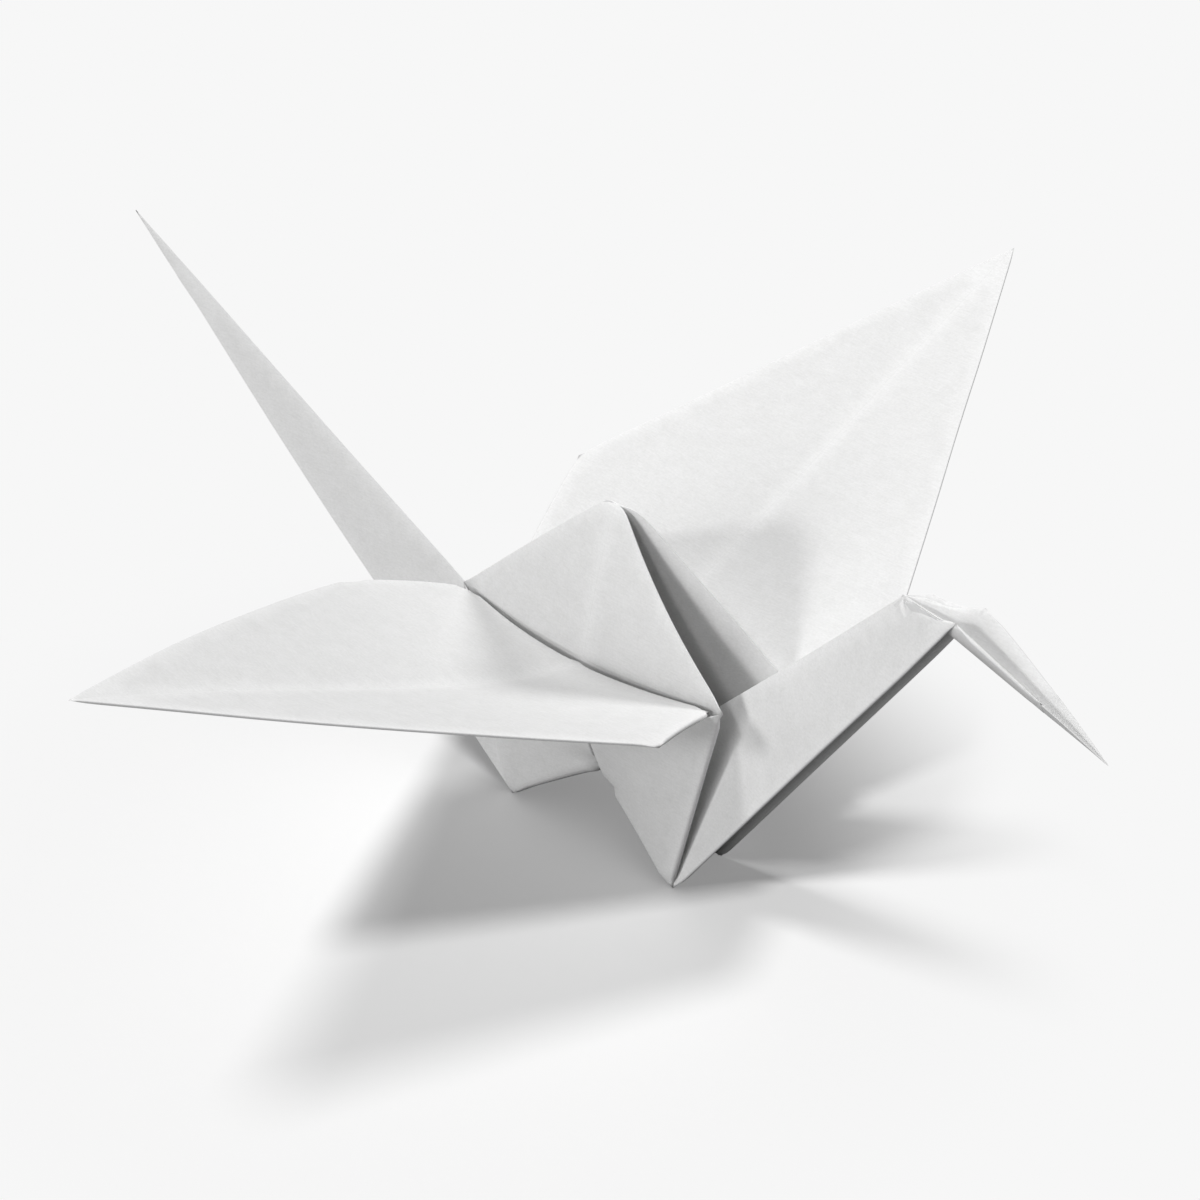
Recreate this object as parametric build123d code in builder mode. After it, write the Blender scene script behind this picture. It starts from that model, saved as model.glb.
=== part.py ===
"""A folded paper crane: one uncut square sheet with a body, two wings, a tail, and a neck with a head.

+X points to the head, +Y to the crane's left, +Z up. The origin is on the floor, midway between the feet.
All flat patterns come from the bird base: the square's corners are the wing tips, the beak and the tail.
Below, "front" is the head's end and "rear" the tail's end. A side of -1 is the crane's right, +1 its left.
"""

import os
from math import cos, hypot, radians, sin, sqrt, tan

from build123d import *

# The sheet
sheet_side = 150.0
paper_thickness = 0.15

# How the points are folded
foot_drop = 8.85  # depth of the feet under the fold that joins the body to the wings
neck_angle = 45.0  # the neck's back above the horizontal
tail_angle = 32.0  # the tail's back above the horizontal
head_length = 23.3  # from the crook of the neck to the beak's tip, along the fold
head_edge_length = 16.9  # from the crook to the beak's tip, along the open edges
crook_depth = 4.2  # from the neck's back to its open edges, at the crook
crook_angle = 36.0  # between the neck's back and the fold across the crook

# How far the folded crane is opened
shoulder_half_width = 3.9  # middle of the body to the ends of a wing's hinge
foot_half_spread = 3.4  # middle of the body to a foot
foot_draw_in = 1.5  # how far the bent legs bring each foot towards the middle
hinge_bulge = 1.9  # how far the middle of a hinge stands out from its ends
hinge_sag = 1.0  # how far the middle of a hinge hangs below its ends
crevice_gap = 0.5  # opening between the body's hump and a wing, at the hinge's middle
shoulder_draw_in = 0.5  # how far the bent hinge brings each of its ends towards the middle
apex_sink = 1.0  # how far the middle of the sheet is pressed in
crook_half_gap = 1.9  # half the opening between the neck's edges at the head
right_wing_lift = 20.0
left_wing_lift = 15.0
right_tip_sweep = 4.0  # how far a wing's tip is bent towards the tail
left_tip_sweep = 1.0
lining_length = 15.0  # how far up the neck and tail the inner layers close against the outer ones

# The narrow bird base, flat: x runs out from its middle crease, z up from the root fold
half_side = sheet_side / 2
narrow_slope = tan(radians(11.25))  # the narrowest folds are an eighth of a right angle
wide_slope = tan(radians(22.5))
hump_height = half_side * wide_slope
shoulder_x = (half_side + hump_height) * narrow_slope / (1 + narrow_slope)
shoulder_z = hump_height - shoulder_x
wing_corner_z = half_side * (wide_slope - narrow_slope) / (wide_slope + narrow_slope)
wing_corner_x = (half_side - wing_corner_z) * wide_slope
root_x = half_side * narrow_slope
flap_corner_z = hypot(half_side, hump_height) - half_side
flap_edge_x = shoulder_z - flap_corner_z
foot_x = (half_side - foot_drop) * narrow_slope

# Standing height of each fold
shoulder_height = shoulder_z + foot_drop
root_height = foot_drop
flap_corner_height = flap_corner_z + foot_drop
ridge_rise = sqrt(
    shoulder_x**2 + (hump_height - shoulder_z) ** 2
    - (shoulder_x - shoulder_draw_in) ** 2
    - shoulder_half_width**2
)
apex = Vector(0, 0, shoulder_height + ridge_rise - apex_sink)

# Where panels start, in layers from their fold's plane. A fold's own panels straddle it, so that they meet.
straddling = -0.5
inside_fold = -1.0
over_one_layer = 0.5
over_two_layers = 1.5


def valley_height(rise_angle):
    """Height at which the reverse fold of the neck or tail leaves the body's middle crease."""
    fold_angle = (90 - rise_angle) / 2
    return foot_x * tan(radians(fold_angle))


def add_panel(corners, first_layer, layers, facing):
    """Adds a flat panel. Its layers are counted from the plane of the corners towards facing."""
    along = corners[1] - corners[0]
    normal = along.cross(corners[2] - corners[0]).normalized()
    if normal.dot(facing) < 0:
        normal = -normal
    plane = Plane(origin=corners[0], x_dir=along, z_dir=normal)
    outline = [plane.to_local_coords(corner) for corner in corners]
    with BuildSketch(plane.offset(first_layer * paper_thickness)) as panel:
        with BuildLine():
            Polyline(*[(point.X, point.Y) for point in outline], close=True)
        make_face()
    extrude(panel.sketch, amount=layers * paper_thickness)


def point_on(plane, x, z):
    """The point of a leaning plane that has this x and height."""
    from_origin = (x - plane.origin.X) * plane.z_dir.X + (z - plane.origin.Z) * plane.z_dir.Z
    return Vector(x, plane.origin.Y - from_origin / plane.z_dir.Y, z)


def add_quarter(side, end, rise_angle):
    """Adds the hump face, pleat, pocket and leg of one quarter, and returns its fold points."""
    outward = Vector(0, side, 0)
    shoulder = Vector(end * (shoulder_x - shoulder_draw_in), side * shoulder_half_width, shoulder_height)
    foot = Vector(end * (foot_x - foot_draw_in), side * foot_half_spread, 0)
    hinge_middle = Vector(0, side * (shoulder_half_width + hinge_bulge), shoulder_height - hinge_sag)
    hump_middle = hinge_middle - outward * crevice_gap
    wall = Plane(
        origin=shoulder,
        x_dir=hinge_middle - shoulder,
        z_dir=(hinge_middle - shoulder).cross(foot - shoulder),
    )
    root_middle = point_on(wall, 0, root_height)
    root_corner = point_on(wall, end * root_x, root_height)
    flap_corner = point_on(wall, 0, flap_corner_height)
    flap_edge_sag = hinge_sag * (1 - flap_edge_x / shoulder_x)
    flap_edge = point_on(wall, end * flap_edge_x, shoulder_height - flap_edge_sag)
    valley = Vector(0, 0, valley_height(rise_angle))
    skirt = point_on(wall, 0, valley.Z)

    # Hump face, which turns under at the root and comes back up inside the wing's fold
    add_panel([apex, shoulder, hump_middle], straddling, 1, outward)
    add_panel([shoulder, hump_middle, root_middle], inside_fold, 1, outward)
    add_panel([shoulder, root_middle, root_corner], inside_fold, 1, outward)

    # Pleat, from the ridge and the narrow edge in to the valley at the middle of the body
    add_panel([apex, shoulder, valley], straddling, 1, outward)
    add_panel([shoulder, foot, valley], straddling, 1, outward)

    # Wall under the wing: the wing's two layers, then the four that are folded over them
    add_panel([hinge_middle, shoulder, foot, skirt], straddling, 2, outward)
    add_panel([flap_edge, shoulder, root_corner, flap_corner], over_two_layers, 2, outward)
    add_panel([shoulder, flap_corner, skirt, foot], over_two_layers, 3, outward)
    return shoulder, hinge_middle, flap_edge, foot, valley, skirt


def add_wing_half(side, end, lift_angle, tip_sweep, shoulder, hinge_middle, flap_edge):
    """Adds the front or rear half of a wing, which meets the other half on the middle crease."""
    lift = radians(lift_angle)
    out = Vector(0, side * cos(lift), sin(lift))
    under = Vector(0, side * sin(lift), -cos(lift))
    hinge_line = Vector(0, side * shoulder_half_width, shoulder_height)
    tip = hinge_line + out * (half_side - shoulder_z) - Vector(tip_sweep, 0, 0)
    corner_reach = wing_corner_z - shoulder_z
    corner_sweep = tip_sweep * corner_reach / (half_side - shoulder_z)
    corner = hinge_line + out * corner_reach + Vector(end * wing_corner_x - corner_sweep, 0, 0)
    add_panel([hinge_middle, corner, tip], straddling, 2, under)
    add_panel([hinge_middle, shoulder, corner], straddling, 2, under)
    add_panel([flap_edge, shoulder, corner], over_one_layer, 3, under)


def spine_direction(end, rise_angle):
    """Direction of the neck's or tail's back, which stays on the crane's middle plane."""
    rise = radians(rise_angle)
    return Vector(end * cos(rise), 0, sin(rise))


def add_lining(side, end, rise_angle, foot, valley, skirt):
    """Adds the inner layers that rise from the wall's lower edge and close up inside the neck or tail."""
    close_up = valley + spine_direction(end, rise_angle) * lining_length
    add_panel([skirt, foot, close_up], straddling, 3, Vector(0, -side, 0))


def add_tail_half(side, foot, valley):
    """Adds one wall of the tail: four layers, wide at the foot and pointed at the tip."""
    back_length = half_side + valley.Z - root_height
    tip = valley + spine_direction(-1, tail_angle) * back_length
    add_panel([valley, foot, tip], straddling, 4, Vector(0, -side, 0))


def add_neck_half(side, foot, valley):
    """Adds one wall of the neck, up to the crook, and one wall of the head that is folded down from it."""
    inward = Vector(0, -side, 0)
    back = spine_direction(1, neck_angle)
    across = Vector(back.Z, 0, -back.X)
    back_length = half_side + valley.Z - root_height
    crook_top = valley + back * (back_length - head_length)
    crook_fold = back * (crook_depth / tan(radians(crook_angle))) + across * crook_depth
    crook_edge = crook_top + crook_fold + Vector(0, side * crook_half_gap, 0)
    add_panel([valley, foot, crook_top], straddling, 4, inward)
    add_panel([foot, crook_edge, crook_top], straddling, 4, inward)

    # The beak's tip keeps its distances from both ends of the head's fold
    level_edge = Vector(crook_edge.X, 0, crook_edge.Z)
    edge_reach = sqrt(head_edge_length**2 - crook_half_gap**2)
    base = (level_edge - crook_top).length
    towards_edge = (level_edge - crook_top) / base
    tip_along = (head_length**2 - edge_reach**2 + base**2) / (2 * base)
    tip_aside = sqrt(head_length**2 - tip_along**2)
    downward = Vector(towards_edge.Z, 0, -towards_edge.X)
    beak_tip = crook_top + towards_edge * tip_along + downward * tip_aside
    add_panel([crook_top, crook_edge, beak_tip], straddling, 4, inward)


with BuildPart() as folded_sheet:
    for side, lift_angle, tip_sweep in (
        (-1, right_wing_lift, right_tip_sweep),
        (1, left_wing_lift, left_tip_sweep),
    ):
        for end, rise_angle in ((1, neck_angle), (-1, tail_angle)):
            shoulder, hinge_middle, flap_edge, foot, valley, skirt = add_quarter(side, end, rise_angle)
            add_wing_half(side, end, lift_angle, tip_sweep, shoulder, hinge_middle, flap_edge)
            add_lining(side, end, rise_angle, foot, valley, skirt)
            if end == 1:
                add_neck_half(side, foot, valley)
            else:
                add_tail_half(side, foot, valley)
    # The feet are pressed flat where they stand on the floor
    split(bisect_by=Plane.XY, keep=Keep.TOP)

folded_sheet.part.label = "folded_sheet"
os.makedirs("parts", exist_ok=True)
export_step(folded_sheet.part, "parts/folded_sheet.step")
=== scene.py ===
from math import cos, hypot, pi, radians, sin, tan

import bmesh
import bpy
import numpy as np
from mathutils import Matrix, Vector, noise
from mathutils.geometry import delaunay_2d_cdt


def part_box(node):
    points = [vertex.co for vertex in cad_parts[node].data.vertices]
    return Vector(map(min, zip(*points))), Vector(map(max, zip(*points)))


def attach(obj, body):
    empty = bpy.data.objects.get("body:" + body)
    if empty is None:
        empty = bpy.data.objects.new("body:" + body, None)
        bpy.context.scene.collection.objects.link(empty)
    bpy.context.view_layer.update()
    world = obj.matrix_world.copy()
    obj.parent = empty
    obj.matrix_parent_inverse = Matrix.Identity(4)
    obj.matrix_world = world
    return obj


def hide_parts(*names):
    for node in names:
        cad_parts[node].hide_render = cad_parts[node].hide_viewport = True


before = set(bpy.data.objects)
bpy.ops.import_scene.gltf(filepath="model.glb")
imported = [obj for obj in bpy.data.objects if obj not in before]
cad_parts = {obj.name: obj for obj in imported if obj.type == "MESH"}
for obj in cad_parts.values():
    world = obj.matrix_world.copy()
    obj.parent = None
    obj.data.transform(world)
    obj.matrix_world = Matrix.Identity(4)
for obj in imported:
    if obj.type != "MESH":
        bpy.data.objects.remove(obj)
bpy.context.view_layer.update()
mm = 0.001
boxLow, boxHigh = [np.array(corner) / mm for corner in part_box("folded_sheet")]

# Folding is worked out in millimetres.
# The ends are the head's (front) and the tail's (rear), the sides are -Y (near) and +Y (far).
ends = {"front": 1, "rear": -1}
sides = {"near": -1, "far": 1}

# The flat bird base: x runs out from its middle crease, z up from the root fold of the wings
pattern = {
    "halfSide": 75.0,  # the square sheet, from its middle to an edge
    "footDrop": 8.85,  # from the root fold down to a foot
    "neckAngle": 45.0,  # the neck's back above the floor
    "tailAngle": 32.0,
    "headLength": 23.3,  # the head along its folded edge
    "headEdge": 16.9,  # the head along its open edges
    "nest": 0.2,  # how much shorter a layer is that lies inside another
    "hingeInset": 1.05,  # how far a wing's hinge stops short of the body's shoulder
    "slit": 0.12,  # half the gap between two edges that meet on the middle crease
    "slitStep": 0.22,  # how much wider the gap is in each layer further in
    "flapSlit": 0.3,  # the same for the flaps outside the walls
    "bareTip": 7.0,  # length of the tips of the head and tail where the inner layers have ended
}

# The folded crane, by the places of its main points. A bow is how far the middle of a fold stands off.
pose = {
    "apex": (1.6, -1.3, 38.7),
    "apexTop": 37.1,  # the apex is pressed down to this height
    "blunted": (3.6, 6.6),  # how far from the apex its pressed part is flat, and where it ends
    "softPress": 0.12,  # how softly a foot meets the floor
    "softApex": 0.36,
    "ridgeBows": {
        ("near", "front"): (-0.75, -0.5, 0.0),
        ("near", "rear"): (0.0, 0.0, 0.15),
        ("far", "front"): (0.0, 0.0, 0.3),
        ("far", "rear"): (0.0, 0.0, 0.0),
    },
    "shoulders": {
        ("near", "front"): (16.4, -3.5, 22.3),
        ("near", "rear"): (-17.4, -1.9, 21.2),
        ("far", "front"): (17.7, 4.5, 21.6),
        ("far", "rear"): (-17.4, 4.3, 20.9),
    },
    "feet": {
        ("near", "front"): (11.1, -3.9, 0.0),
        ("near", "rear"): (-10.6, -3.0, 0.0),
        ("far", "front"): (11.3, 2.8, 0.0),
        ("far", "rear"): (-11.3, 2.9, 0.0),
    },
    "wingCorners": {
        ("near", "front"): (19.3, -15.6, 26.4),
        ("near", "rear"): (-21.6, -13.5, 25.0),
        ("far", "front"): (20.3, 17.2, 24.4),
        ("far", "rear"): (-19.7, 16.8, 26.3),
    },
    "hingeMiddles": {"near": (-0.4, -4.6, 20.8), "far": (0.4, 6.0, 20.6)},
    "footPress": 0.3,  # how much of each foot's tip is pressed flat on the floor
    "wallFeet": {"near": -0.25, "far": 1.35},  # how far sideways the walls' lowest middle point is
    "wallCurls": {
        ("near", "front"): 0.55,
        ("near", "rear"): 0.0,
        ("far", "front"): 0.0,
        ("far", "rear"): 0.4,
    },
    "wallEdgeBow": (0.0, 0.0, 0.35),
    "flapFlares": {("far", "rear"): 0.3},  # how far a wall's outer flaps stand off at its middle
    "flareWidth": 4.0,
    "valleys": {"front": (-0.1, 0.55, 6.0), "rear": (0.1, 0.6, 7.4)},
    "wingTips": {"near": (-4.4, boxLow[1] + 1.5, 43.2), "far": (-1.2, boxHigh[1] - 0.3, 38.1)},
    "endTips": {"front": (boxHigh[0] - 1.5, -1.2, 34.0), "rear": (boxLow[0] + 0.8, -2.6, boxHigh[2] + 0.2)},
    "crook": (32.8, 0.25, 40.2),
    "crookEdges": {"near": (39.9, -1.9, 41.4), "far": (40.1, 2.0, 41.2)},
    "crevice": 0.75,  # gap between the hump and a wing at the hinge's middle
    "hingeRound": 1.9,  # 2 is a round hinge line, 1 a pointed one
    "hingeCorner": (0.45, 0.4),  # how far a hinge's end is drawn in along the hinge and along the wing's root
    "wallLowZ": -3.0,  # flat height where the walls have come in to the middle
    "humpBow": 0.35,
    "rootBows": {"near": 0.3, "far": 0.2},
    "edgeBows": {
        ("near", "front"): -0.25,
        ("near", "rear"): 1.1,
        ("far", "front"): 0.1,
        ("far", "rear"): 0.0,
    },
    "wingSags": {"near": -1.6, "far": -0.3},
    "tailEdgeBow": (0.0, 0.0, -0.5),
    "tailBackBow": (0.0, 0.0, 0.2),
    "neckEdgeBow": (0.0, 0.3, 0.0),
    "headEdgeBow": (0.0, 0.2, 0.2),
}

# How the paper lies and bends
paper = {
    "thickness": 0.14,
    "pitch": 0.16,  # from one layer to the next
    "foldRadius": 0.12,
    "sharpFold": 0.11,  # the most that a facet stops short of such a fold
    "leastPullBack": 0.08,
    "hingeRadius": 1.2,
    "leastHingeRadius": 0.3,
    "widestHinge": 1.4,  # the most that a facet stops short of a hinge
    "crookRadius": 0.35,
    "crookStep": 0.1,  # how much sharper the crook is in each layer further in
    "shutFold": radians(150),  # a fold that turns further than this is pressed shut
    # Half the gap between two walls, for each millimetre from their fold
    "narrowing": {"tail": 0.2, "neck": 0.2, "head": 0.4},
    "roomForLayers": 3.5,  # layers that have to fit in this gap
    "bareShare": 0.2,  # share of their height that the layers have where the bare tip begins
    "bareRise": 22.0,  # length over which they come up to all of it
    "tightest": 0.2,  # the least share of their height that pressed layers keep
    "thinnest": 0.75,  # the least share of its thickness that the paper keeps there
    "pressedCorner": 0.5,  # the share at the ends of the neck's, head's and tail's folds
    "grid": 1.35,  # mesh size of the flat stretches
    "edgeStep": 1.2,  # mesh size along the folds
    "blend": 2.2,  # how far from a point its layers close up
    "waviness": 0.16,
    "waveLength": 17.0,
    "waveSeed": 7,
    "creaseAngle": radians(60),  # edges that turn further than this stay sharp
    "cornerWearAndHighlight": 0.5,  # how worn the paper is where folds meet, which also sets how much painted highlight it gets there
    "besideWearAndHighlight": 0.4,  # and along both sides of a fold, worn and with a painted highlight
    "fullWearAndHighlightTurn": radians(90),  # a fold that turns this far is fully worn and gets its full painted highlight
}

# How the mesh follows the folds
meshing = {
    "evenness": 0.6,  # share of even spacing along an edge, the rest is closer near its ends
    "backShare": 0.6,  # the most that an edge is pulled back, as a share of the facet's width there
    "gridMargin": 0.6,  # how far the inner points stay from the outline, in steps of the grid
    "wayReach": 0.15,  # how far from an edge its direction is measured
    "wayShare": 0.4,  # the same as a share of the facet's width there
    "middleReach": 0.2,  # the same at the middle of an edge
    "leastSine": 0.2,
    "leastTurn": 0.01,
    "mostTurn": radians(178),
    "straightOn": radians(170),  # corners that open further than this are only stops along an edge
    "stopOpening": radians(12),  # what they count as, so that the fold closes up slowly
    "turnSteps": ((radians(25), 2), (radians(100), 4), (pi, 6)),  # folds up to each turn, and their strips
}

tiny = 1e-6
narrow = tan(pi / 16)
wide = tan(pi / 8)
half = pattern["halfSide"]
peakZ = half * wide
shoulderX = (half + peakZ) * narrow / (1 + narrow)
shoulderZ = peakZ - shoulderX
cornerZ = half * (wide - narrow) / (wide + narrow)
cornerX = (half - cornerZ) * wide
rootX = half * narrow
flapZ = hypot(half, peakZ) - half
flapX = shoulderZ - flapZ
footZ = -pattern["footDrop"]
footX = (half + footZ) * narrow


# A point of the flat pattern has a name, whose digit tells the layers apart that it is on
def flatPoints(end):
    nest, slit, flapSlit = pattern["nest"], pattern["slit"], pattern["flapSlit"]
    innerX = shoulderX - pattern["hingeInset"]
    second, third = slit + pattern["slitStep"], slit + 3 * pattern["slitStep"]
    foldAngle = (90 - pattern[{"front": "neckAngle", "rear": "tailAngle"}[end]]) / 2
    valleyZ = footZ + footX * tan(radians(foldAngle))
    crookZ = pattern["headLength"] - half
    edgeReach = pattern["headEdge"] * cos(pi / 16)
    edgeX, edgeZ = pattern["headEdge"] * sin(pi / 16), edgeReach - half
    # Close to the tips the outer layer goes on alone
    limbX, limbLength = (footX, half + footZ) if end == "rear" else (edgeX, edgeReach)
    tipX, tipZ = pattern["bareTip"] * limbX / limbLength, pattern["bareTip"] - half
    return {
        "C": (0, peakZ), "T": (0, half), "X": (cornerX, cornerZ), "G": (flapX, shoulderZ),
        "Y1": (shoulderX, shoulderZ), "Y3": (innerX, shoulderZ), "Y4": (innerX - nest, shoulderZ),
        "H2": (0, shoulderZ), "H3": (0, shoulderZ), "H4": (slit, shoulderZ),
        "W": (rootX - nest, 0), "M": (0, 0), "Q": (flapSlit, flapZ),
        "K1": (0, valleyZ), "K4": (second, valleyZ), "K5": (third, valleyZ),
        "F1": (footX, footZ), "F4": (footX - nest, footZ + nest),
        "S1": (0, crookZ), "S4": (second, crookZ), "S5": (third, crookZ),
        "N1": (edgeX, edgeZ), "N4": (edgeX - nest, edgeZ), "E": (0, -half),
        "P1": (tipX, tipZ), "P4": (tipX - nest, tipZ + nest),
        "E4": (slit, tipZ + nest), "E5": (2 * slit, tipZ),
    }


# Each facet of the sheet: the surface it lies on, its layer, and its corners in order
bodyFacets = {
    "pleat": ("pleat", 0, "C Y1 F1 K1"),
    "hump": ("hump", 0, "C Y1 H2"),
    "pocket": ("pocket", -1, "H2 Y1 W M"),
    "wallFirst": ("wall", 0, "M W Y3 H3"),
    "wallSecond": ("wall", 1, "H4 Y4 F4 K4"),
    "wallThird": ("wall", 2, "Y4 G Q K5 F4"),
    "wallFourth": ("wall", 3, "W Y3 G Q"),
    "wallFifth": ("wall", 4, "W Y1 Q"),
    "wallOuter": ("wall", 5, "Y1 Q K5 F1"),
    "wingTop": ("wing", 0, "H3 Y3 X T"),
    "wingSecond": ("wing", 1, "H4 Y4 X T"),
    "wingThird": ("wing", 2, "Y4 X G"),
    "wingUnder": ("wing", 3, "Y3 X G"),
}
neckFacets = {
    "neckOuter": ("limb", 0, "K1 F1 N1 S1"),
    "neckSecond": ("limb", 1, "K4 F4 N4 S4"),
    "neckThird": ("limb", 2, "K5 F4 N4 S5"),
    "neckInner": ("limb", 3, "K5 F1 N1 S5"),
    "headInner": ("head", 0, "S1 N1 P1 E"),
    "headSecond": ("head", 1, "S4 N4 P4 E4"),
    "headThird": ("head", 2, "S5 N4 P4 E5"),
    "headOuter": ("head", 3, "S5 N1 P1 E5"),
}
tailFacets = {
    "tailOuter": ("limb", 0, "K1 F1 P1 E"),
    "tailSecond": ("limb", 1, "K4 F4 P4 E4"),
    "tailThird": ("limb", 2, "K5 F4 P4 E5"),
    "tailInner": ("limb", 3, "K5 F1 P1 E5"),
}
sharedByAll = {"C"}
sharedBySides = {"E", "K1", "S1"}  # on the crane's middle plane
sharedByEnds = {"H2", "H3", "M", "T"}  # on the middle crease of a wing


def globalName(point, side, end):
    if point in sharedByAll:
        return (point, "", "")
    if point in sharedBySides:
        return (point, "", end)
    if point in sharedByEnds:
        return (point, side, "")
    return (point, side, end)


def vector(values):
    return np.array(values, float)


def straight(start, stop, bow=(0, 0, 0), skew=1):
    # A line that may be bowed. A skew above 1 moves the bow towards its stop.
    start, stop, bow = vector(start), vector(stop), vector(bow)
    top = (skew / (skew + 1)) ** skew / (skew + 1)

    def curve(t):
        t = t[:, None]
        return start + (stop - start) * t + bow * t**skew * (1 - t) / top

    return curve


def backwards(curve):
    return lambda t: curve(1 - t)


class Patch:
    # A smooth surface over a flat outline, which follows one curve along each side of it.
    # Every point inside is a mean of the outline's points, weighted by how it sees them.
    def __init__(self, corners, curves, step=0.8):
        corners = [vector(corner) for corner in corners]
        flat, placed = [], []
        for start, stop, curve in zip(corners, corners[1:] + corners[:1], curves):
            count = max(6, int(np.linalg.norm(stop - start) / step))
            t = np.arange(count) / count
            flat.append(start + (stop - start) * t[:, None])
            placed.append(curve(t))
        self.flat = np.concatenate(flat)
        self.placed = np.concatenate(placed)
        self.middle = sum(corners) / len(corners)

    def at(self, points):
        points = points + (self.middle - points) * 1e-4
        spoke = self.flat[None] - points[:, None]
        reach = np.linalg.norm(spoke, axis=2)
        nextSpoke, nextReach = np.roll(spoke, -1, axis=1), np.roll(reach, -1, axis=1)
        cross = spoke[..., 0] * nextSpoke[..., 1] - spoke[..., 1] * nextSpoke[..., 0]
        tangent = cross / (reach * nextReach + (spoke * nextSpoke).sum(2))
        weight = (tangent + np.roll(tangent, 1, axis=1)) / reach
        return (weight / weight.sum(1, keepdims=True)) @ self.placed

    def normalAt(self, points, nudge=0.03, step=0.04):
        points = points + (self.middle - points) * nudge
        across, along = vector((step, 0)), vector((0, step))
        normal = np.cross(
            self.at(points + across) - self.at(points - across),
            self.at(points + along) - self.at(points - along),
        )
        return normal / np.linalg.norm(normal, axis=1, keepdims=True)


def makePatches(side, end):
    out = sides[side]
    flat = flatPoints(end)
    apex = vector(pose["apex"])
    shoulder = vector(pose["shoulders"][side, end])
    foot = vector(pose["feet"][side, end]) - vector((0, 0, pose["footPress"]))
    hinge = vector(pose["hingeMiddles"][side])
    humpMiddle = hinge - vector((0, out * pose["crevice"], 0))
    valley = vector(pose["valleys"][end])
    wingCorner = vector(pose["wingCorners"][side, end])
    wingTip = vector(pose["wingTips"][side])
    endTip = vector(pose["endTips"][end])
    top, low = shoulderZ, pose["wallLowZ"]

    def hingeCurve(middle):
        def curve(t):
            shape = np.stack([t, t ** pose["hingeRound"], t ** pose["hingeRound"]], axis=1)
            return middle + (shoulder - middle) * shape

        return curve

    def wallMiddle(z):
        share = (z - low) / (top - low)
        swing = np.sin(share * pi / 2)
        inside = pose["wallFeet"][side] + out * pose["wallCurls"][side, end]
        height = z - footZ + (hinge[2] - top + footZ) * share
        return np.stack([hinge[0] * share, inside + (hinge[1] - inside) * swing, height], axis=1)

    valleyZ = flat["K1"][1]
    narrowEdge = straight(shoulder, foot)
    wallLow = wallMiddle(vector([valleyZ]))[0]
    ridge = straight(apex, shoulder, pose["ridgeBows"][side, end])
    corner = {
        "Y": (shoulderX, shoulderZ), "H": (0, shoulderZ),
        "F": (footX, footZ), "K": (0, valleyZ), "M": (0, 0),
    }
    patches = {
        "pleat": Patch(
            [flat["C"], corner["Y"], corner["F"], corner["K"]],
            [ridge, narrowEdge, straight(foot, valley), straight(valley, apex)],
        ),
        "hump": Patch(
            [flat["C"], corner["Y"], corner["H"]],
            [ridge, backwards(hingeCurve(humpMiddle)),
             straight(humpMiddle, apex, (0, out * pose["humpBow"], pose["humpBow"] / 2))],
        ),
        "wall": Patch(
            [corner["H"], corner["Y"], corner["F"], corner["K"]],
            [hingeCurve(hinge), narrowEdge, straight(foot, wallLow, pose["wallEdgeBow"], 2),
             lambda t: wallMiddle(valleyZ + (top - valleyZ) * t)],
        ),
        "wing": Patch(
            [corner["H"], corner["Y"], flat["X"], flat["T"]],
            [hingeCurve(hinge), straight(shoulder, wingCorner, (0, 0, pose["rootBows"][side])),
             straight(wingCorner, wingTip, (0, 0, pose["edgeBows"][side, end])),
             straight(wingTip, hinge, (0, 0, pose["wingSags"][side]), 3)],
        ),
    }
    wall = patches["wall"]
    shut = out * pose["crevice"]

    def pocketMiddle(t):
        place = wallMiddle(top * t)
        place[:, 1] -= shut * t
        return place

    patches["pocket"] = Patch(
        [corner["H"], corner["Y"], (rootX, 0), corner["M"]],
        [hingeCurve(humpMiddle),
         lambda t: wall.at(np.stack([(half + top * (1 - t)) * narrow, top * (1 - t)], axis=1)),
         lambda t: wall.at(np.stack([rootX * (1 - t), 0 * t], axis=1)),
         pocketMiddle],
    )
    if end == "rear":
        patches["limb"] = Patch(
            [corner["K"], corner["F"], flat["E"]],
            [straight(valley, foot), straight(foot, endTip, pose["tailEdgeBow"]),
             straight(endTip, valley, pose["tailBackBow"])],
        )
        return patches
    crook, crookEdge = vector(pose["crook"]), vector(pose["crookEdges"][side])
    neckBow = vector(pose["neckEdgeBow"]) * (1, out, 1)
    patches["limb"] = Patch(
        [corner["K"], corner["F"], flat["N1"], flat["S1"]],
        [straight(valley, foot), straight(foot, crookEdge, neckBow), straight(crookEdge, crook),
         straight(crook, valley)],
    )
    headBow = vector(pose["headEdgeBow"]) * (1, out, 1)
    patches["head"] = Patch(
        [flat["S1"], flat["N1"], flat["E"]],
        [straight(crook, crookEdge), straight(crookEdge, endTip, headBow), straight(endTip, crook)],
    )
    return patches


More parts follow.
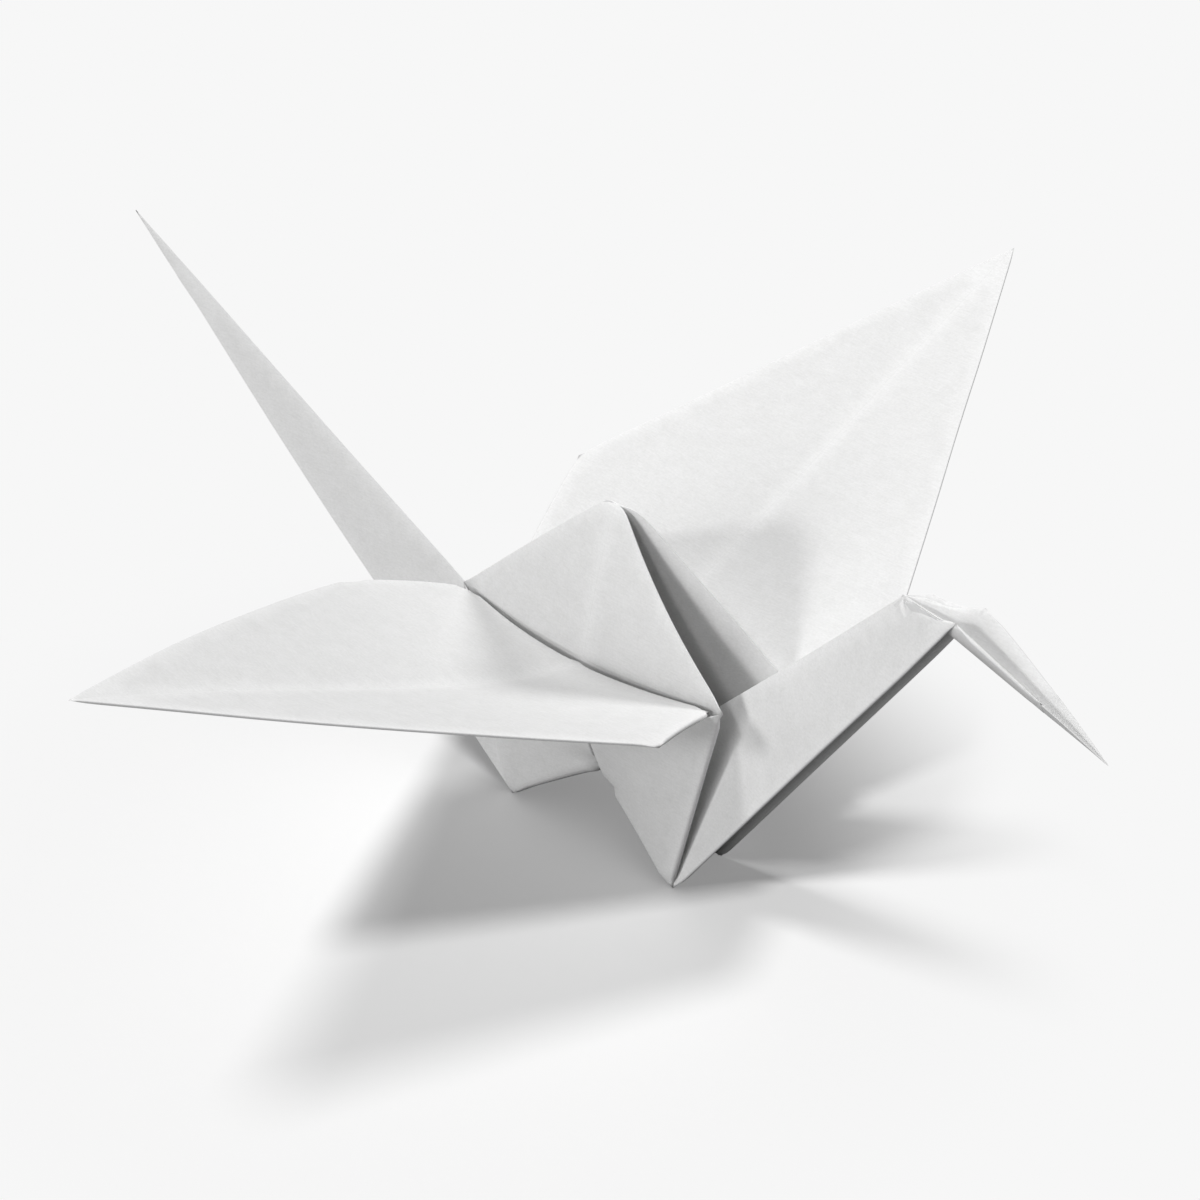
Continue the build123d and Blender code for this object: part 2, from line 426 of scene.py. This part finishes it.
class Facet:
    def __init__(self, name, side, end, patch, layer, corners):
        flat = flatPoints(end)
        self.patch, self.layer = patch, layer
        self.names = [globalName(corner, side, end) for corner in corners]
        self.corners = np.array([flat[corner] for corner in corners], float)
        turn = -sides[side] * ends[end]
        self.lift = turn * layer * paper["pitch"]
        self.narrowing = paper["narrowing"].get(name[:4], 0)
        outerWall = name.startswith("wall") and layer > 1
        self.flare = turn * pose["flapFlares"].get((side, end), 0) if outerWall else 0
        self.shifts = np.zeros((len(corners), 3))
        following = np.roll(self.corners, -1, axis=0) - self.corners
        self.lengths = np.linalg.norm(following, axis=1)
        self.ways = following / self.lengths[:, None]
        turned = np.stack([-self.ways[:, 1], self.ways[:, 0]], axis=1)
        area = (self.corners[:, 0] * np.roll(self.corners[:, 1], -1)
                - self.corners[:, 1] * np.roll(self.corners[:, 0], -1)).sum()
        self.inwards = turned * np.sign(area)
        before = -np.roll(self.ways, 1, axis=0)
        self.openings = np.arccos(np.clip((before * self.ways).sum(1), -1, 1))
        self.openings[self.openings > meshing["straightOn"]] = meshing["stopOpening"]

    def squeeze(self, points):
        # The layers of the neck, head and tail press together where their two walls close up
        if not self.narrowing:
            return np.ones(len(points))
        sideRoom = np.abs(points[:, 0]) * self.narrowing / (paper["roomForLayers"] * paper["pitch"])
        pastBareTip = points[:, 1] + half - pattern["bareTip"]
        endRoom = paper["bareShare"] + pastBareTip / paper["bareRise"]
        return np.clip(np.minimum(sideRoom, endRoom), paper["tightest"], 1)

    def unclosed(self, points):
        lift = np.full(len(points), self.lift)
        lift *= self.squeeze(points)
        if self.flare:
            lift += self.flare * np.exp(-(points[:, 0] / pose["flareWidth"]) ** 2)
        return self.patch.at(points) + self.patch.normalAt(points) * lift[:, None]

    def place(self, points):
        placed = self.unclosed(points)
        for corner, shift in zip(self.corners, self.shifts):
            near = np.clip(1 - np.linalg.norm(points - corner, axis=1) / paper["blend"], 0, 1)
            placed += shift * (near * near * (3 - 2 * near))[:, None]
        return placed

    def outwardWay(self, edge, points, reach):
        # The direction in which the surface runs out over an edge
        behind = points + self.inwards[edge] * reach[:, None]
        way = self.place(points) - self.place(behind)
        return way / np.linalg.norm(way, axis=1, keepdims=True)

    def edgePoints(self, edge, pullBack):
        # Points along an edge, pulled back from the fold but not at the corners, and the facet's width there.
        # They are a little closer together near the corners.
        length, count = self.lengths[edge], len(self.names)
        steps = max(5, round(length / paper["edgeStep"]))
        even = np.arange(steps + 1) / steps
        evenness = meshing["evenness"]
        t = evenness * even + (1 - evenness) * (1 - np.cos(pi * even)) / 2
        room = np.minimum(
            t * length * tan(self.openings[edge] / 2),
            (1 - t) * length * tan(self.openings[(edge + 1) % count] / 2),
        )
        back = np.minimum(pullBack, meshing["backShare"] * room)
        along, inwards = self.ways[edge] * (t * length)[:, None], self.inwards[edge] * back[:, None]
        return self.corners[edge] + along + inwards, room


def makeFacets():
    facets = []
    for side in sides:
        for end in ends:
            patches = makePatches(side, end)
            limb = neckFacets if end == "front" else tailFacets
            for name, (kind, layer, corners) in {**bodyFacets, **limb}.items():
                facets.append(Facet(name, side, end, patches[kind], layer, corners.split()))
    # The layers meet at each named point
    places = {}
    for facet in facets:
        for name, place in zip(facet.names, facet.unclosed(facet.corners)):
            places.setdefault(name, []).append(place)
    meeting = {name: np.mean(found, axis=0) for name, found in places.items()}
    # A wing's hinge ends in a soft corner, drawn in from the shoulder
    for (point, side, end), place in meeting.items():
        if point in ("Y3", "Y4"):
            shoulder = vector(pose["shoulders"][side, end])
            targets = (pose["hingeMiddles"][side], pose["wingCorners"][side, end])
            for target, pull in zip(targets, pose["hingeCorner"]):
                way = vector(target) - shoulder
                place += way / np.linalg.norm(way) * pull
    for facet in facets:
        for number, place in enumerate(facet.unclosed(facet.corners)):
            facet.shifts[number] = meeting[facet.names[number]] - place
    return facets, meeting


def angleBetween(first, second):
    return np.arccos(np.clip((first * second).sum(-1), -1, 1))


def foldRadius(pair, layer):
    letters = {name[0] for name in pair}
    if letters in ({"H3", "Y3"}, {"H4", "Y4"}, {"G", "Y3"}, {"G", "Y4"}):
        return max(paper["leastHingeRadius"], paper["hingeRadius"] - layer * paper["pitch"])
    if letters == {"H2", "Y1"}:
        return paper["hingeRadius"]
    if {letter[0] for letter in letters} == {"S", "N"}:
        return paper["crookRadius"] - layer * paper["crookStep"]
    return paper["foldRadius"]


def pullBackOf(pair, facet, edge, other, otherEdge):
    # How far a fold's two facets stop short of its line, so that it is round and its layers don't cross
    middle = (facet.corners[edge] + facet.ways[edge] * facet.lengths[edge] / 2)[None]
    otherMiddle = (other.corners[otherEdge] + other.ways[otherEdge] * other.lengths[otherEdge] / 2)[None]
    reach = vector([meshing["middleReach"]])
    way = facet.outwardWay(edge, middle, reach)[0]
    onwards = -other.outwardWay(otherEdge, otherMiddle, reach)[0]
    apart = other.place(otherMiddle)[0] - facet.place(middle)[0]
    turn = angleBetween(way, onwards)
    inside = onwards - (onwards @ way) * way
    inside /= max(np.linalg.norm(inside), tiny)
    over = -(apart @ inside)
    radius = foldRadius(pair, facet.layer)
    widest = paper["sharpFold"] + np.linalg.norm(apart) / 2
    if radius > paper["foldRadius"]:
        widest = min(paper["widestHinge"], 2 * radius)
    if turn > paper["shutFold"]:
        back = np.linalg.norm(apart) / 2
    else:
        back = radius * tan(turn / 2) + max(0, over) / max(sin(turn), meshing["leastSine"])
    return float(np.clip(back, paper["leastPullBack"], widest))


def insideOutline(points, outline):
    nextOnes = np.roll(outline, -1, axis=0)
    x, z = points[:, :1], points[:, 1:]
    straddles = (outline[:, 1] > z) != (nextOnes[:, 1] > z)
    rise = nextOnes[:, 1] - outline[:, 1]
    rise[rise == 0] = tiny
    crossing = outline[:, 0] + (z - outline[:, 1]) / rise * (nextOnes[:, 0] - outline[:, 0])
    return (straddles & (x < crossing)).sum(1) % 2 == 1


def distanceToOutline(points, outline):
    way = np.roll(outline, -1, axis=0) - outline
    offset = points[:, None] - outline[None]
    share = np.clip((offset * way).sum(2) / (way * way).sum(1), 0, 1)
    return np.linalg.norm(offset - way * share[..., None], axis=2).min(1)


def gridInside(outline, spacing):
    lowest, highest = outline.min(0), outline.max(0)
    rowStep = spacing * sin(pi / 3)
    rows = np.arange(lowest[1], highest[1], rowStep)
    points = [
        (x, z)
        for number, z in enumerate(rows)
        for x in np.arange(lowest[0] + spacing / 2 * (number % 2), highest[0], spacing)
    ]
    if not points:
        return np.zeros((0, 2))
    points = vector(points)
    points = points[insideOutline(points, outline)]
    if len(points):
        points = points[distanceToOutline(points, outline) > meshing["gridMargin"] * spacing]
    return points


def nextNames(facet):
    return facet.names[1:] + facet.names[:1]


class Sheet:
    # The sheet's points, with how worn it is at each (which also sets the painted highlight along the folds),
    # how pressed it is, and its triangles
    def __init__(self):
        self.vertices, self.worn, self.squeezed, self.triangles = [], [], [], []

    def add(self, places, wearAndHighlight, share):
        start = len(self.vertices)
        self.vertices.extend(places)
        self.worn.extend(wearAndHighlight * np.ones(len(places)))
        self.squeezed.extend(share)
        return list(range(start, start + len(places)))

    def addFacet(self, facet, corner, pairs, pullBacks):
        # Fills a facet with triangles and keeps the points along its edges, for the folds
        facet.edges, outline, index = [], [], []
        for edge, (first, second) in enumerate(zip(facet.names, nextNames(facet))):
            pair = frozenset((first, second))
            points, room = facet.edgePoints(edge, pullBacks[pair])
            inner = points[1:-1]
            wearAndHighlight = paper["besideWearAndHighlight"] if len(pairs[pair]) == 2 else 0
            added = self.add(facet.place(inner), wearAndHighlight, facet.squeeze(inner))
            facet.edges.append((points, room, [corner[first]] + added + [corner[second]]))
            outline.append(np.concatenate([facet.corners[edge][None], inner]))
            index.extend([corner[first]] + added)
        outline = np.concatenate(outline)
        inside = gridInside(outline, paper["grid"])
        if len(inside):
            index = index + self.add(facet.place(inside), 0, facet.squeeze(inside))
        flat = [Vector(point) for point in np.concatenate([outline, inside])]
        rim = [(number, (number + 1) % len(outline)) for number in range(len(outline))]
        made = delaunay_2d_cdt(flat, rim, [], 1, 1e-7)
        for triangle in made[2]:
            self.triangles.append([index[made[3][point][0]] for point in triangle])

    def addFold(self, facet, edge, other, otherEdge):
        # Bends a few narrow strips from one facet's edge over to the other's
        points, room, index = facet.edges[edge]
        otherPoints, otherRoom, otherIndex = other.edges[otherEdge]
        if index[0] != otherIndex[0]:
            otherPoints, otherRoom, otherIndex = otherPoints[::-1], otherRoom[::-1], otherIndex[::-1]
        points, room, otherPoints, otherRoom = [row[1:-1] for row in (points, room, otherPoints, otherRoom)]
        start, stop = facet.place(points), other.place(otherPoints)
        reach, otherReach = [np.minimum(meshing["wayReach"], meshing["wayShare"] * width)
                             for width in (room, otherRoom)]
        startWay = facet.outwardWay(edge, points, reach)
        stopWay = other.outwardWay(otherEdge, otherPoints, otherReach)
        turn = np.clip(angleBetween(startWay, -stopWay), meshing["leastTurn"], meshing["mostTurn"])
        chord = np.linalg.norm(stop - start, axis=1)
        handle = (chord * 2 / 3 * np.tan(turn / 4) / np.sin(turn / 2))[:, None]
        widest = np.median(turn)
        steps = next(steps for most, steps in meshing["turnSteps"] if widest < most)
        share = facet.squeeze(points)
        # Folds that turn further are worn more and get a brighter painted highlight
        wearAndHighlight = min(1, widest / paper["fullWearAndHighlightTurn"]) * share
        rows = [index]
        for step in range(1, steps):
            t = step / steps
            bend = (start * (1 - t) ** 3 + (start + startWay * handle) * 3 * t * (1 - t) ** 2
                    + (stop + stopWay * handle) * 3 * t * t * (1 - t) + stop * t**3)
            rows.append([index[0]] + self.add(bend, wearAndHighlight, share) + [index[-1]])
        rows.append(otherIndex)
        for row, nextRow in zip(rows, rows[1:]):
            self.addStrip(row, nextRow)

    def addStrip(self, row, nextRow):
        for a, b, c, d in zip(row, row[1:], nextRow[1:], nextRow):
            if a == d:
                self.triangles.append([a, b, c])
            elif b == c:
                self.triangles.append([a, b, d])
            else:
                self.triangles.extend([[a, b, c], [a, c, d]])


def foldSheet():
    facets, meeting = makeFacets()
    sheet = Sheet()
    corner = {}
    for name, place in meeting.items():
        share = paper["pressedCorner"] if name[0][0] in "EKPS" else 1
        corner[name] = sheet.add([place], paper["cornerWearAndHighlight"], [share])[0]
    # Two facets that share both ends of an edge share a fold there
    pairs = {}
    for facet in facets:
        for edge, pair in enumerate(zip(facet.names, nextNames(facet))):
            pairs.setdefault(frozenset(pair), []).append((facet, edge))
    folds = {pair: members for pair, members in pairs.items() if len(members) == 2}
    pullBacks = dict.fromkeys(pairs, 0)
    for pair, (member, otherMember) in folds.items():
        pullBacks[pair] = pullBackOf(pair, *member, *otherMember)
    for facet in facets:
        sheet.addFacet(facet, corner, pairs, pullBacks)
    for member, otherMember in folds.values():
        sheet.addFold(*member, *otherMember)
    return sheet


def thicken(sheet):
    # Gives the sheet its thickness: both faces, and the cut edge of the paper between them
    vertices = pressFlat(addWaves(np.array(sheet.vertices)))
    work = bmesh.new()
    points = [work.verts.new(place) for place in vertices]
    for triangle in sheet.triangles:
        if len(set(triangle)) == 3:
            try:
                work.faces.new([points[number] for number in triangle])
            except ValueError:
                print("doubled triangle left out")
    bmesh.ops.recalc_face_normals(work, faces=work.faces)
    work.normal_update()
    work.verts.index_update()
    normals = np.array([point.normal for point in work.verts])
    faces = np.array([[point.index for point in face.verts] for face in work.faces])
    rim = [(edge.link_loops[0].vert.index, edge.link_loops[0].link_loop_next.vert.index)
           for edge in work.edges if len(edge.link_loops) == 1]
    print("sheet:", len(points), "points,", len(faces), "triangles,", len(rim), "rim edges,",
          sum(len(edge.link_faces) > 2 for edge in work.edges), "doubled edges")
    work.free()
    count = len(vertices)
    halfThick = paper["thickness"] / 2 * np.maximum(sheet.squeezed, paper["thinnest"])[:, None]
    both = np.concatenate([vertices + normals * halfThick, vertices - normals * halfThick])
    both[:, 2] -= both[:, 2].min()
    allFaces = faces.tolist() + (faces[:, ::-1] + count).tolist()
    allFaces += [[b, a, a + count, b + count] for a, b in rim]
    return both, allFaces


def addWaves(vertices):
    # Paper is never quite flat: a slow wave, the same for all layers at a place
    size, length = paper["waviness"], paper["waveLength"]
    noise.seed_set(paper["waveSeed"])
    waves = np.array([noise.noise_vector(Vector(place / length)) for place in vertices])
    return vertices + waves * size


def pressFlat(vertices):
    # The feet stand flat on the floor, and the middle of the sheet is blunt instead of a sharp point
    softPress, softApex, top = pose["softPress"], pose["softApex"], pose["apexTop"]
    height = softPress * np.logaddexp(0, vertices[:, 2] / softPress)
    fromApex = np.linalg.norm(vertices[:, :2] - vector(pose["apex"])[:2], axis=1)
    flatUpTo, endsAt = pose["blunted"]
    near = np.clip((endsAt - fromApex) / (endsAt - flatUpTo), 0, 1)
    blunt = top - softApex * np.logaddexp(0, (top - height) / softApex)
    vertices = vertices.copy()
    vertices[:, 2] = height + (blunt - height) * near
    return vertices


def makeCrane():
    sheet = foldSheet()
    vertices, faces = thicken(sheet)
    mesh = bpy.data.meshes.new("foldedPaper")
    mesh.from_pydata((vertices * mm).tolist(), [], faces)
    # How worn each point is, which also paints a highlight along the folds
    wearAndHighlight = mesh.attributes.new("foldWearAndHighlight", "FLOAT", "POINT")
    wearAndHighlight.data.foreach_set("value", np.array(sheet.worn * 2, np.float32))  # once for each face of the paper
    mesh.polygons.foreach_set("use_smooth", [True] * len(mesh.polygons))
    mesh.update()
    mesh.set_sharp_from_angle(angle=paper["creaseAngle"])
    crane = bpy.data.objects.new("paper_crane", mesh)
    bpy.context.scene.collection.objects.link(crane)
    return crane


crane = makeCrane()
print("crane folded:", len(crane.data.vertices), "vertices,", len(crane.data.polygons), "faces")


# White uncoated paper: fine fibres, faint clouds of thicker pulp, and lighter folds, partly from wear and
# partly a painted highlight along them
paperLook = {
    "colour": (0.64, 0.64, 0.635, 1),
    "thickColour": (0.75, 0.75, 0.75, 1),  # where the pulp is thicker
    # the folds' colour: worn paper, and a painted highlight along the folds
    "foldWearAndHighlightColour": (0.93, 0.93, 0.93, 1),
    "grainSize": 0.25,  # sizes in millimetres
    "fibreLength": 1.6,
    "fibreWidth": 0.16,
    "cloudSize": 1.8,
    "grainShare": 0.45,
    "cloudShare": 0.22,
    "pulpRange": (0.36, 0.66),  # the part of the mixed noise that goes from thin to thick pulp
    "grainRange": (0.35, 0.65),  # the same for smooth to rough
    "noiseRoughness": 0.6,
    "roughness": (0.56, 0.78),
    "foldRoughness": 0.86,
    "specular": 0.35,
    "reliefDepth": 0.022,
    "relief": 0.8,
    "buckleSize": 6.5,
    "buckleDepth": 0.03,
    "fibreTurns": ((0.3, 0.5, 0.9), (1.2, -0.4, 2.3), (-0.8, 1.1, -0.5)),
    "fibreBend": 0.4,
    "cloudBend": 0.6,
}


def makePaper():
    material = bpy.data.materials.new("whitePaper")
    material.use_nodes = True
    tree = material.node_tree
    shader = tree.nodes["Principled BSDF"]
    look = paperLook

    def node(kind, **settings):
        made = tree.nodes.new(kind)
        for name, value in settings.items():
            if hasattr(made, name):
                setattr(made, name, value)
            else:
                made.inputs[name.replace("_", " ")].default_value = value
        return made

    def link(source, target):
        tree.links.new(source, target)

    def noiseOf(place, size, detail, distortion=0.0):
        texture = node("ShaderNodeTexNoise", Scale=1 / (size * mm), Detail=detail, Distortion=distortion)
        texture.inputs["Roughness"].default_value = look["noiseRoughness"]
        link(place, texture.inputs["Vector"])
        return texture.outputs["Fac"]

    def fibresAlong(turn):
        # Noise stretched along one direction reads as a mat of short fibres
        mapping = node("ShaderNodeMapping", Rotation=turn)
        mapping.inputs["Scale"].default_value = (look["fibreWidth"] / look["fibreLength"], 1, 1)
        link(place, mapping.inputs["Vector"])
        return noiseOf(mapping.outputs["Vector"], look["fibreWidth"], 2, look["fibreBend"])

    def blend(first, second, share, mode="MIX"):
        mix = node("ShaderNodeMix", data_type="RGBA", blend_type=mode)
        colours = [entry for entry in mix.inputs if entry.type == "RGBA"]
        for target, value in zip([mix.inputs["Factor"]] + colours, (share, first, second)):
            if isinstance(value, (float, tuple)):
                target.default_value = value
            else:
                link(value, target)
        return [entry for entry in mix.outputs if entry.type == "RGBA"][0]

    place = node("ShaderNodeTexCoord").outputs["Object"]
    grain = noiseOf(place, look["grainSize"], 3)
    cloud = noiseOf(place, look["cloudSize"], 5, look["cloudBend"])
    buckle = noiseOf(place, look["buckleSize"], 2)
    firstTurn, *otherTurns = look["fibreTurns"]
    fibres = fibresAlong(firstTurn)
    for turn in otherTurns:
        fibres = blend(fibres, fibresAlong(turn), 1.0, "LIGHTEN")
    texture = blend(fibres, grain, look["grainShare"])
    pulp = blend(texture, cloud, look["cloudShare"])

    contrast = node("ShaderNodeMapRange", From_Min=look["pulpRange"][0], From_Max=look["pulpRange"][1])
    link(pulp, contrast.inputs["Value"])
    plain = blend(look["colour"], look["thickColour"], contrast.outputs["Result"])
    # The folds are painted lighter by the fold mask: partly wear, partly a painted highlight along them
    wearAndHighlight = node("ShaderNodeAttribute", attribute_name="foldWearAndHighlight").outputs["Fac"]
    frayedAndHighlit = node("ShaderNodeMath", operation="MULTIPLY")
    link(wearAndHighlight, frayedAndHighlit.inputs[0])
    link(texture, frayedAndHighlit.inputs[1])
    link(blend(plain, look["foldWearAndHighlightColour"], frayedAndHighlit.outputs["Value"]), shader.inputs["Base Color"])

    rough = node("ShaderNodeMapRange", From_Min=look["grainRange"][0], From_Max=look["grainRange"][1])
    rough.inputs["To Min"].default_value, rough.inputs["To Max"].default_value = look["roughness"]
    link(texture, rough.inputs["Value"])
    worn = node("ShaderNodeMix", data_type="FLOAT", B=look["foldRoughness"])
    link(frayedAndHighlit.outputs["Value"], worn.inputs["Factor"])
    link(rough.outputs["Result"], worn.inputs["A"])
    link(worn.outputs["Result"], shader.inputs["Roughness"])

    fine = node("ShaderNodeBump", Strength=look["relief"], Distance=look["reliefDepth"] * mm)
    link(texture, fine.inputs["Height"])
    broad = node("ShaderNodeBump", Strength=look["relief"], Distance=look["buckleDepth"] * mm)
    link(buckle, broad.inputs["Height"])
    link(broad.outputs["Normal"], fine.inputs["Normal"])
    link(fine.outputs["Normal"], shader.inputs["Normal"])
    shader.inputs["Specular IOR Level"].default_value = look["specular"]
    return material


crane.data.materials.append(makePaper())
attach(crane, "root")
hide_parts("folded_sheet")
print("paper made:", len(crane.data.materials[0].node_tree.nodes), "nodes")

# A plain pale floor. The shadows are full under the crane and fade away from it, as under soft light.
studio = {
    "floorSize": 6.0,
    "floorColour": 0.80,
    "floorBounce": (0.22, 0.22, 0.22, 1),  # how bright the floor is for the crane, whose folds stay dark
    "brightness": 0.93,
    "shadowMiddle": (-5.0, -17.0, 0.0),
    "shadowReach": (30.0, 64.0),  # millimetres from that middle to where shadows begin to fade and are gone
    "skyStrength": 0.02,
    "strayLight": 0.05,  # what the sky and the crane bring to the floor near it
}


# Each light: where it comes from, its strength and its width in degrees.
# The crane's own lights bring out its folds, the floor's draw its shadows.
craneLights = {
    "wideFront": ((0.0, -0.98, 0.21), 1.2, 32),
    "lowFront": ((-0.1, -0.88, 0.45), 0.9, 7),
    "highFront": ((-0.04, -0.58, 0.81), 0.75, 6),
    "back": ((0.0, 0.77, 0.64), 1.7, 24),
    "top": ((-0.2, 0.2, 0.91), 1.45, 25),
}
floorLights = {
    "floorKey": ((0.06, -0.55, 0.83), 1.62, 6),
    "floorTop": ((-0.19, -0.20, 0.96), 1.15, 13),
}


def makeFloorMaterial():
    material = bpy.data.materials.new("studioFloor")
    material.use_nodes = True
    material.cycles.emission_sampling = "NONE"  # its glow is only seen, it lights nothing
    tree = material.node_tree
    shader = tree.nodes["Principled BSDF"]
    shader.inputs["Roughness"].default_value = 0.9
    shader.inputs["Specular IOR Level"].default_value = 0.0
    shader.inputs["Emission Strength"].default_value = 1.0

    # What the lights bring fades as the floor's own brightness takes over, so that the sum stays even
    lit = studio["strayLight"] + studio["floorColour"] * sum(
        strength * vector(direction)[2] / np.linalg.norm(direction) / pi
        for direction, strength, softness in floorLights.values()
    )
    bright = studio["brightness"]
    distance = tree.nodes.new("ShaderNodeVectorMath")
    distance.operation = "DISTANCE"
    distance.inputs[1].default_value = vector(studio["shadowMiddle"]) * mm
    fade = tree.nodes.new("ShaderNodeMapRange")
    fade.interpolation_type = "SMOOTHSTEP"
    fadeStart, fadeEnd = studio["shadowReach"]
    fading = {"From Min": fadeStart * mm, "From Max": fadeEnd * mm, "To Min": 1, "To Max": 0}
    for socket, value in fading.items():
        fade.inputs[socket].default_value = value
    coordinates = tree.nodes.new("ShaderNodeTexCoord")
    tree.links.new(coordinates.outputs["Object"], distance.inputs[0])
    tree.links.new(distance.outputs["Value"], fade.inputs["Value"])
    lightPath = tree.nodes.new("ShaderNodeLightPath")
    near, far = [(level, level, level, 1) for level in (studio["floorColour"], 0)]
    nearGlow, farGlow = [(level, level, level, 1) for level in (bright - lit, bright)]
    for socket, hidden, nearColour, farColour in (
        ("Base Color", studio["floorBounce"], near, far),
        ("Emission Color", (0, 0, 0, 1), nearGlow, farGlow),
    ):
        byDistance = tree.nodes.new("ShaderNodeMixRGB")
        byDistance.inputs["Color1"].default_value = farColour
        byDistance.inputs["Color2"].default_value = nearColour
        seen = tree.nodes.new("ShaderNodeMixRGB")
        seen.inputs["Color1"].default_value = hidden
        tree.links.new(fade.outputs["Result"], byDistance.inputs["Fac"])
        tree.links.new(byDistance.outputs["Color"], seen.inputs["Color2"])
        tree.links.new(lightPath.outputs["Is Camera Ray"], seen.inputs["Fac"])
        tree.links.new(seen.outputs["Color"], shader.inputs[socket])
    return material


def makeFloor():
    bpy.ops.mesh.primitive_plane_add(size=studio["floorSize"])
    floor = bpy.context.object
    floor.name = "studio_floor"
    floor.data.materials.append(makeFloorMaterial())
    return floor


def addSun(name, direction, strength, softness, receiver):
    # direction is where the light comes from, softness the width of the light in degrees
    light = bpy.data.lights.new(name, "SUN")
    light.energy = strength
    light.angle = radians(softness)
    sun = bpy.data.objects.new(name, light)
    sun.rotation_euler = Vector(direction).to_track_quat("Z", "Y").to_euler()
    bpy.context.scene.collection.objects.link(sun)
    sun.light_linking.receiver_collection = receiver


def receiverOf(name, piece):
    # Lights that are given this collection light only this piece
    receiver = bpy.data.collections.new(name)
    receiver.objects.link(piece)
    return receiver


def makeLights(floor):
    onCrane = receiverOf("litCrane", crane)
    onFloor = receiverOf("litFloor", floor)
    for name, (direction, strength, softness) in craneLights.items():
        addSun(name, direction, strength, softness, onCrane)
    for name, (direction, strength, softness) in floorLights.items():
        addSun(name, direction, strength, softness, onFloor)


def makeWorld():
    world = bpy.data.worlds.new("studioSky")
    bpy.context.scene.world = world
    world.use_nodes = True
    world.node_tree.nodes["Background"].inputs["Color"].default_value = (1, 1, 1, 1)
    world.node_tree.nodes["Background"].inputs["Strength"].default_value = studio["skyStrength"]


cameraView = {
    "azimuth": radians(42.04),
    "elevation": radians(32.85),
    "distance": 304.54,  # millimetres
    "target": (2.03, -4.19, 28.6),
    "lens": 99.95,
    "sensor": 36.0,
    "clip": (0.01, 20.0),  # metres
}


def makeCamera():
    azimuth, elevation = cameraView["azimuth"], cameraView["elevation"]
    back = vector((sin(azimuth) * cos(elevation), -cos(azimuth) * cos(elevation), sin(elevation)))
    data = bpy.data.cameras.new("camera")
    data.lens = cameraView["lens"]
    data.sensor_width = cameraView["sensor"]
    data.clip_start, data.clip_end = cameraView["clip"]
    camera = bpy.data.objects.new("camera", data)
    camera.location = (vector(cameraView["target"]) + back * cameraView["distance"]) * mm
    camera.rotation_mode = "QUATERNION"
    camera.rotation_quaternion = Vector(-back).to_track_quat("-Z", "Y")
    bpy.context.scene.collection.objects.link(camera)
    bpy.context.scene.camera = camera


studioFloor = makeFloor()
makeWorld()
makeLights(studioFloor)
makeCamera()
bpy.context.scene.view_settings.view_transform = "Standard"
print("studio made:", len(craneLights), "lights on the crane,", len(floorLights), "on the floor")
